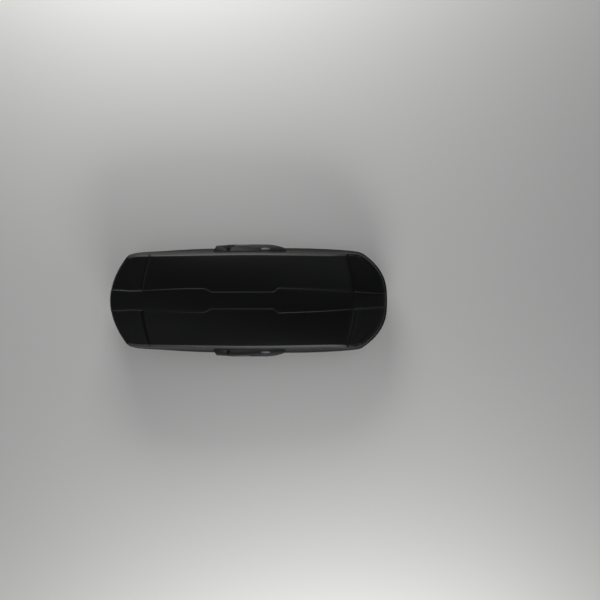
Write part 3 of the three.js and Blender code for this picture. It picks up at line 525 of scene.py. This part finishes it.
# Stiffening hoops: two aluminium strips pressed to the curve of the lid and bonded under it,
# where the box would flex most between its openers.
streaks_along = 12
metal_patches = 35
streak_depth = 0.02 * mm


def streaked(name, colours, roughness, streak):
    """A drawn or plated metal, with fine streaks along the box, so many millimetres apart."""
    material, tree, shader, place = new_material(name)
    across = 1 / (streak * mm)
    drawn = add_node(tree, "ShaderNodeMapping", Vector=place, Scale=(streaks_along, across, across))
    lines = noise(tree, drawn.outputs["Vector"], 1, 3)
    feed(
        tree, shader, Base_Color=blend(tree, noise(tree, place, metal_patches, 5), colours),
        Roughness=spread(tree, lines, roughness), Normal=bumpy(tree, lines, streak_depth, 0.5), Metallic=1,
    )
    return material


# Anodised aluminium: a pale silky grey. Its drawing lines are 0.7 mm apart, coarser than real ones.
aluminium = streaked("anodised_aluminium", ("#a9abad", "#b9bbbd"), (0.28, 0.42), 0.7)


weld = 0.01 * mm
flat_angle = math.radians(2)


def softened(node, form, material, edge, angle=30, shaped=None):
    """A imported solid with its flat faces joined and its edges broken. A rule can move its points first."""
    shape = bmesh.new()
    shape.from_mesh(frame["nodes"][node].data)
    bmesh.ops.remove_doubles(shape, verts=shape.verts, dist=weld)
    bmesh.ops.dissolve_limit(
        shape, angle_limit=flat_angle, use_dissolve_boundaries=False, verts=shape.verts,
        edges=shape.edges, delimit=set(),
    )
    for vert in shape.verts if shaped else ():
        vert.co = shaped(vert.co)
    sharp = [e for e in shape.edges if e.is_manifold and e.calc_face_angle(0) > math.radians(angle)]
    round_off(shape, sharp, edge)
    obj = piece(f"{node}_{form}", shape, material, frame["nodes"][node]["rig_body"])
    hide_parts(node)
    return obj


strip_edge = 0.4 * mm
for end in ends:
    softened(f"lid_hoop_{end}", "strip", aluminium, strip_edge, angle=20)


# Lid ledges: a strip of black ABS bonded along each side wall over the rail, with a broad pad at each
# end for the toes of the lifter arms to push on.

# Sawn ABS: dull black with a coarse cut grain, which keeps the strip apart from the smooth lid above it
ledge_abs = moulded("sawn_black_abs", ("#121213", "#19191b"), (0.45, 0.6), 1.2, 0.05)
ledge_edge = 1 * mm
for side in sides:
    softened(f"lid_ledge_{side}", "strip", ledge_abs, ledge_edge)


# Lid rails: upside-down aluminium channels screwed to the ledges, with two open saddles over each hinge pin.
# They are extruded, so their streaks run along the box.
for side in sides:
    softened(f"lid_rail_{side}", "extrusion", aluminium, strip_edge)


# Lock bars: zinc-plated steel strips that slide in the lid rails. The key's crank drives the tab,
# and an eye passes over each hinge pin.

# Zinc plate: a cool mid grey with a slow cloudy sheen, the brightest metal inside the box
zinc = streaked("zinc_plated_steel", ("#8d9093", "#a3a5a6"), (0.3, 0.42), 2.5)
for side in sides:
    softened(f"lock_bar_{side}", "strip", zinc, strip_edge)


# Opener housings: nylon mouldings on each side of the lid, blunt at the rear and tapered to the front,
# with the grip lever's pocket and the key's recess.

# Textured nylon: black like the lid but duller, so the housing reads as a piece of its own. Its texture
# is drawn 0.9 mm apart, coarser than real.
opener_nylon = moulded("textured_black_nylon", ("#0a0a0b", "#101011"), (0.5, 0.6), 0.9, 0.05, specular=0.2)
housing_edge = 1.5 * mm
opener_rear_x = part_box("opener_housing_left")[0].x
blunt_run = 95 * mm
blunt_swell = 14 * mm
blunt_rake = 18 * mm
blunt_swell_power = 1.6
blunt_rake_power = 4
blunt_corner_share = 3
inner_y = 414 * mm
outer_y = 442 * mm


def blunt(place):
    """Squares up the housing's rear end in plan: its outer corner goes out and its inner one to the rear."""
    near = max(1 - (place.x - opener_rear_x) / blunt_run, 0)
    outer = min(max((abs(place.y) - inner_y) / (outer_y - inner_y), 0), 1)
    swell = math.copysign(blunt_swell * near**blunt_swell_power * outer, place.y)
    rake = near**blunt_rake_power * blunt_rake * (outer / blunt_corner_share - (1 - outer))
    return place + Vector((rake, swell, 0))


for side in sides:
    softened(f"opener_housing_{side}", "moulding", opener_nylon, housing_edge, shaped=blunt)


# Grip levers: nylon barrels on a steel pin, with a curved skin that the fingers pull outwards.
# Lever nylon: the housing's nylon, glossier where hands polish it and with a tighter highlight. Its colour is
# painted a little lighter as a painted highlight for the light caught along the lever's edge.
lever_nylon = moulded("painted_highlight_black_nylon", ("#131314", "#1a1a1c"), (0.44, 0.54), 0.9, 0.03, specular=0.3)
lever_edge = 1 * mm
for side in sides:
    softened(f"grip_lever_{side}", "moulding", lever_nylon, lever_edge)


# Key plugs: a turned rosette in black chrome over a crank, sunk in the housing's sloping face.
# The keyway is cut across the middle.

# Black chrome: a near black metal that catches a thin bright ring on the rosette's turned edge
key_chrome = streaked("black_chrome", ("#0d0e0f", "#151618"), (0.34, 0.46), 1.5)
face_in = Vector((414 * mm, 213 * mm))
face_out = Vector((462 * mm, 192 * mm))
key_inset = 6 * mm
key_y = half_width - key_inset
face_fall = (face_in.y - face_out.y) / (face_out.x - face_in.x)
key_z = face_in.y - (key_y - face_in.x) * face_fall
face_turn = Matrix.Rotation(-math.atan(face_fall), 4, "X")
key_frame = Matrix.Translation((key_x, key_y, key_z)) @ face_turn
key_profile = [
    (0, 1.6), (9.5, 1.6), (10, 2.2), (10.4, 3), (14.5, 3), (16.8, 2.2), (17.5, 0.8), (17.5, -3),
    (15, -3), (15, -6), (0, -6),
]
plug_depth = 6 * mm
keyway_low = (-6 * mm, -1.2 * mm, -1 * mm)
keyway_high = (6 * mm, 1.2 * mm, 6 * mm)
crank_pin_radius = 2.5 * mm
crank_pin_length = 11 * mm
crank_place = 8 * mm


def on_side(mesh, side, frame_matrix):
    """Puts a mesh that was made flat onto an opener's sloping face. The right side gets its mirror image."""
    bmesh.ops.transform(mesh, matrix=frame_matrix, verts=mesh.verts)
    if side == "right":
        bmesh.ops.scale(mesh, vec=(1, -1, 1), verts=mesh.verts)
    bmesh.ops.recalc_face_normals(mesh, faces=mesh.faces)
    return mesh


for side in sides:
    plug = bmesh.new()
    outline = [plug.verts.new((radius * mm, 0, height * mm)) for radius, height in key_profile]
    edges = [plug.edges.new(pair) for pair in zip(outline, outline[1:])]
    bmesh.ops.spin(
        plug, geom=outline + edges, cent=(0, 0, 0), axis=(0, 0, 1), angle=math.tau, steps=48, use_merge=True,
    )
    bmesh.ops.remove_doubles(plug, verts=plug.verts, dist=weld)
    pin = bmesh.ops.create_cone(
        plug, cap_ends=True, segments=20, radius1=crank_pin_radius, radius2=crank_pin_radius,
        depth=crank_pin_length,
    )["verts"]
    bmesh.ops.translate(plug, vec=(crank_place, crank_place, -plug_depth - crank_pin_length / 2), verts=pin)
    key_plug = piece(
        f"key_rosette_{side}", on_side(plug, side, key_frame), key_chrome, f"key_plug_{side}",
    )
    keyway = block(keyway_low, keyway_high, 0)
    carve(key_plug, on_side(keyway, side, key_frame))
    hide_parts(f"key_plug_{side}")


# Oval plates: a thin grey anodised oval pressed into each opener's face, ahead of the lever.
plate_middle = Vector((135 * mm, 428 * mm))
plate_length = 76 * mm
plate_width = 21 * mm
plate_thickness = 1.2 * mm
plate_edge = 0.5 * mm
plate_z = face_in.y - (plate_middle.y - face_in.x) * face_fall
plate_frame = Matrix.Translation((plate_middle.x, plate_middle.y, plate_z)) @ face_turn

# Grey anodising: a dark dull metal, which lights up only where it faces the lamps
plate_metal = streaked("grey_anodised_aluminium", ("#424446", "#4c4e50"), (0.46, 0.56), 0.7)
for side in sides:
    oval = bmesh.new()
    bmesh.ops.create_cone(oval, cap_ends=True, segments=64, radius1=0.5, radius2=0.5, depth=1)
    bmesh.ops.scale(oval, vec=(plate_length, plate_width, 2 * plate_thickness), verts=oval.verts)
    rim = [e for e in oval.edges if e.calc_face_angle(0) > 1]
    round_off(oval, rim, plate_edge, segments=3)
    piece(f"oval_plate_{side}", on_side(oval, side, plate_frame), plate_metal, "lid")


# Base tub: vacuum formed in black ABS with a coarse grain outside, its walls sloping in to a flat floor.
# The rim stands inside the lid's lip.

# Coarse ABS: a dull dark grey, whose deep grain breaks up every highlight
base_abs = moulded("coarse_grained_abs", ("#141415", "#1b1b1d"), (0.5, 0.66), 1.6, 0.12)
tub_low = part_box("base_floor")[0]
tub_wall = 4 * mm
tub_side_insets = [(56, 88), (75, 66), (105, 43), (146, 18)]
tub_nose_insets = [(56, 318), (75, 148), (105, 78), (146, 18)]
tub_tail_insets = [(56, 158), (75, 80), (105, 42), (146, 18)]
tub_rows = 80
tub_columns = 16
tub_heights = [58, 61, 65, 70, 75, 82, 90, 98, 105, 113, 122, 131, 139, 146]


def tub_point(middle, across, height):
    """One point of the tub's outside, at a height in millimetres."""
    side = follow(side_shares, middle)
    share = middle + (side - middle) * abs(across) ** follow(bow_shares, middle)
    end = follow(tub_nose_insets if share > 0 else tub_tail_insets, height) * mm
    rim = follow(rim_shares, side) * half_width - follow(tub_side_insets, height) * mm
    return Vector((share * (half_length - end), across * rim, height * mm))


tub_sheet = bmesh.new()
row_layer = tub_sheet.verts.layers.float.new("row")
column_layer = tub_sheet.verts.layers.float.new("column")
bmesh.ops.create_grid(tub_sheet, x_segments=tub_rows, y_segments=tub_columns, size=1)
for vert in tub_sheet.verts:
    vert[row_layer] = vert.co.x
    vert[column_layer] = vert.co.y
    vert.co = tub_point(vert.co.x, vert.co.y, tub_low.z / mm)
open_edge = [e for e in tub_sheet.edges if e.is_boundary]
for height in tub_heights:
    open_edge = draw_edge(tub_sheet, open_edge, tub_point, height)
face_outwards(tub_sheet, up=False)
tub_walls = BVHTree.FromBMesh(tub_sheet)
base_tub = piece("base_tub", tub_sheet, base_abs, "base")
walled(base_tub, tub_wall)
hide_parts("base_floor", "base_shell")

# Four slots in the floor let the clamps slide to suit the spacing of the bars
slot_length = 244 * mm
slot_width = 32 * mm
slot_cut_below = 5 * mm
slot_cut_depth = 20 * mm


def draw_up(mesh, height):
    """Draws the faces of a flat mesh up into a solid."""
    drawn = bmesh.ops.extrude_face_region(mesh, geom=list(mesh.faces))["geom"]
    top = [g for g in drawn if isinstance(g, bmesh.types.BMVert)]
    bmesh.ops.translate(mesh, vec=(0, 0, height), verts=top)
    bmesh.ops.recalc_face_normals(mesh, faces=mesh.faces)


slots = bmesh.new()
for end in ends:
    for side in sides:
        seat_low, seat_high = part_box(f"clamp_{end}_{side}_body")
        middle = (seat_low + seat_high) / 2
        made = bmesh.ops.create_circle(slots, cap_ends=True, segments=48, radius=slot_width / 2)["verts"]
        for vert in made:
            vert.co.x += math.copysign((slot_length - slot_width) / 2, vert.co.x)
        bmesh.ops.translate(slots, vec=(middle.x, middle.y, tub_low.z - slot_cut_below), verts=made)
draw_up(slots, slot_cut_depth)
carve(base_tub, slots)


# Bosses moulded on the inside of the tub: short ones under the base rails at each hinge,
# and taller ones under the lifter posts.
boss_length = 60 * mm
boss_reach = 18 * mm
boss_edge = 1.5 * mm
lifter_boss_length = 74 * mm
clearance = 0.3 * mm
pin_offset = 4 * mm
arm_offset = 17 * mm
corner_slack = 1 * mm
boss_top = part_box("base_rail_left")[0].z - clearance
lifter_boss_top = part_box("lifter_post_rear_left")[0].z - clearance
lid_rail_low, lid_rail_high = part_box("lid_rail_left")
hinge_y = (lid_rail_low.y + lid_rail_high.y) / 2
boss_spans = []
for name in ("rear", "middle", "front"):
    post_low, post_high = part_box(f"hinge_post_{name}_left")
    middle_x = (post_low.x + post_high.x) / 2 - pin_offset
    boss_spans.append((middle_x - boss_length / 2, middle_x + boss_length / 2, boss_top))
for end in ends:
    arm_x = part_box(f"lifter_post_{end}_left")[0].x + arm_offset
    boss_spans.append((arm_x - lifter_boss_length / 2, arm_x + lifter_boss_length / 2, lifter_boss_top))


def reach_tub(place):
    """A boss's corner. The outer ones are moved into the tub's wall and the lower ones into its floor."""
    side = math.copysign(1, place.y)
    near = (span for span in boss_spans if span[0] - corner_slack < place.x < span[1] + corner_slack)
    top = next(near)[2]
    y = place.y
    if abs(y) > half_width - corner_slack:
        y = tub_walls.ray_cast(Vector((place.x, 0, top)), Vector((0, side, 0)))[0].y - side * tub_wall / 2
    z = place.z
    if z < tub_low.z + corner_slack:
        z = tub_walls.ray_cast(Vector((place.x, y, top)), Vector((0, 0, -1)))[0].z + tub_wall / 2
    return Vector((place.x, y, z))


bosses = bmesh.new()
for start, stop, top in boss_spans:
    for side in (-1, 1):
        inner = (start, side * (hinge_y - boss_reach), tub_low.z)
        block(inner, (stop, side * half_width, top), boss_edge, bosses, reach_tub)
piece("base_bosses", bosses, base_abs, "base")


# Base rails and hinge posts: an aluminium channel on the bosses of each side, and three steel posts
# seated in it, each with a stub pin that a pair of saddles drops over.
post_edge = 0.5 * mm
for side in sides:
    softened(f"base_rail_{side}", "extrusion", aluminium, strip_edge)
    for name in ("rear", "middle", "front"):
        softened(f"hinge_post_{name}_{side}", "pressing", zinc, post_edge)


# Lid lifters: a steel post with a drum, a nylon arm that crosses the box, and a torsion spring of dark
# wire wound round the drum.

# Glass-filled nylon: dark grey and half matt, with the mottle of the fibres in it
filled_nylon = moulded("glass_filled_nylon", ("#1d1d1f", "#29292b"), (0.42, 0.56), 0.7, 0.06)
# Oil-tempered wire: a dark blue grey metal, bright only along the top of each coil
spring_wire = streaked("oil_tempered_spring_wire", ("#2c2d30", "#3d3e42"), (0.25, 0.4), 0.6)
arm_edge = 1.2 * mm
wire = 3 * mm
spring_pitch = 3.6 * mm
spring_turns = 5
spring_steps = 32
wire_segments = 12
drum_radius = 8 * mm
hinge_z = 158 * mm
coil_radius = drum_radius + clearance + wire / 2
for end in ends:
    for side in sides:
        softened(f"lifter_post_{end}_{side}", "pressing", zinc, post_edge)
        softened(f"lifter_arm_{end}_{side}", "moulding", filled_nylon, arm_edge)
        coil_low, coil_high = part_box(f"lifter_spring_{end}_{side}")
        sign = 1 if side == "left" else -1
        coil = bmesh.new()
        ring = bmesh.ops.create_circle(coil, cap_ends=True, segments=wire_segments, radius=wire / 2)["verts"]
        bmesh.ops.rotate(coil, cent=(0, 0, 0), matrix=Matrix.Rotation(math.pi / 2, 3, "X"), verts=ring)
        bmesh.ops.translate(coil, vec=(coil_low.x + wire / 2, 0, coil_radius), verts=ring)
        steps = spring_turns * spring_steps
        bmesh.ops.spin(
            coil, geom=list(coil.faces), cent=(0, 0, 0), axis=(1, 0, 0), angle=math.tau * spring_turns,
            dvec=(spring_pitch / spring_steps, 0, 0), steps=steps,
        )
        bmesh.ops.scale(coil, vec=(1, sign, 1), verts=coil.verts)
        bmesh.ops.translate(coil, vec=(0, sign * hinge_y, hinge_z), verts=coil.verts)
        bmesh.ops.recalc_face_normals(coil, faces=coil.faces)
        body = frame["nodes"][f"lifter_spring_{end}_{side}"]["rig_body"]
        spring = piece(f"lifter_coil_{end}_{side}", coil, spring_wire, body)
        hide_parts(f"lifter_spring_{end}_{side}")


# Clamp tracks: slotted aluminium strips riveted over the floor's own slots, to spread the clamps' grip.
track_edge = 0.3 * mm
for side in sides:
    softened(f"clamp_track_{side}", "strip", aluminium, track_edge)


# Bar clamps: a nylon body on the track, a steel yoke nut on the knob's screw, and two jaws dipped in
# soft vinyl, which swing under the bar as the knob is turned.

# Grey nylon: a mid grey, so that the knobs stand out in the black box for the hand to find
knob_nylon = moulded("grey_nylon", ("#66686b", "#75777a"), (0.4, 0.52), 0.8, 0.04)
# Dipped vinyl: soft black with a slightly lumpy skin that rounds off the highlights
dipped_vinyl = moulded("vinyl_dipped_steel", ("#131313", "#1c1c1c"), (0.45, 0.6), 3.0, 0.08)
clamp_edge = 1 * mm
knob_edge = 2 * mm
yoke_edge = 0.6 * mm
jaw_edge = 1.2 * mm
for end in ends:
    for side in sides:
        clamp = f"clamp_{end}_{side}"
        softened(f"{clamp}_body", "moulding", filled_nylon, clamp_edge)
        softened(f"{clamp}_knob", "moulding", knob_nylon, knob_edge)
        softened(f"{clamp}_yoke", "block", zinc, yoke_edge)
        for jaw in ("front", "rear"):
            softened(f"{clamp}_jaw_{jaw}", "dipped", dipped_vinyl, jaw_edge)


# Floor mat: a sheet of grey needle felt, cut with round corners and laid between the two tracks.
fibre_stretches = ((0.3, 1, 1), (1, 0.3, 1))
pile_depth = 0.6 * mm


def needle_felt(name, colours, fibre):
    """Needled felt: short crossed fibres, so many millimetres apart, with a soft dusty sheen."""
    material, tree, shader, place = new_material(name)
    strands = []
    for stretch in fibre_stretches:
        laid = add_node(tree, "ShaderNodeMapping", Vector=place, Scale=[s / (fibre * mm) for s in stretch])
        strands.append(noise(tree, laid.outputs["Vector"], 1, 3))
    upper = add_node(tree, "ShaderNodeMath", {"operation": "MAXIMUM"}, i0=strands[0], i1=strands[1])
    pile = upper.outputs["Value"]
    tone = add_node(tree, "ShaderNodeMapRange", Value=pile, From_Min=0.4, From_Max=0.75).outputs["Result"]
    feed(
        tree, shader, Base_Color=blend(tree, tone, colours), Normal=bumpy(tree, pile, pile_depth, 0.8),
        Roughness=0.95, Sheen_Weight=0.2,
    )
    return material


# Needle felt: dark grey with paler fibres and no gloss. The fibres are drawn 1.6 mm apart, coarser than
# real ones, so that they show.
grey_felt = needle_felt("grey_needle_felt", ("#26272a", "#3a3c40"), 1.6)
mat_low, mat_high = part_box("base_mat")
mat_size = mat_high - mat_low
mat_corner = 12 * mm
mat_lip = 0.8 * mm
felt = bmesh.new()
bmesh.ops.create_grid(felt, x_segments=1, y_segments=1, size=0.5)
bmesh.ops.scale(felt, vec=(mat_size.x, mat_size.y, 1), verts=felt.verts)
round_off(felt, list(felt.verts), mat_corner, segments=6, affect="VERTICES")
draw_up(felt, mat_size.z)
round_off(felt, [e for e in felt.edges if e.calc_face_angle(0) > 1], mat_lip)
mat_middle = (mat_low + mat_high) / 2
bmesh.ops.translate(felt, vec=(mat_middle.x, mat_middle.y, mat_low.z), verts=felt.verts)
floor_felt = piece("floor_felt", felt, grey_felt, "base")
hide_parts("base_mat")
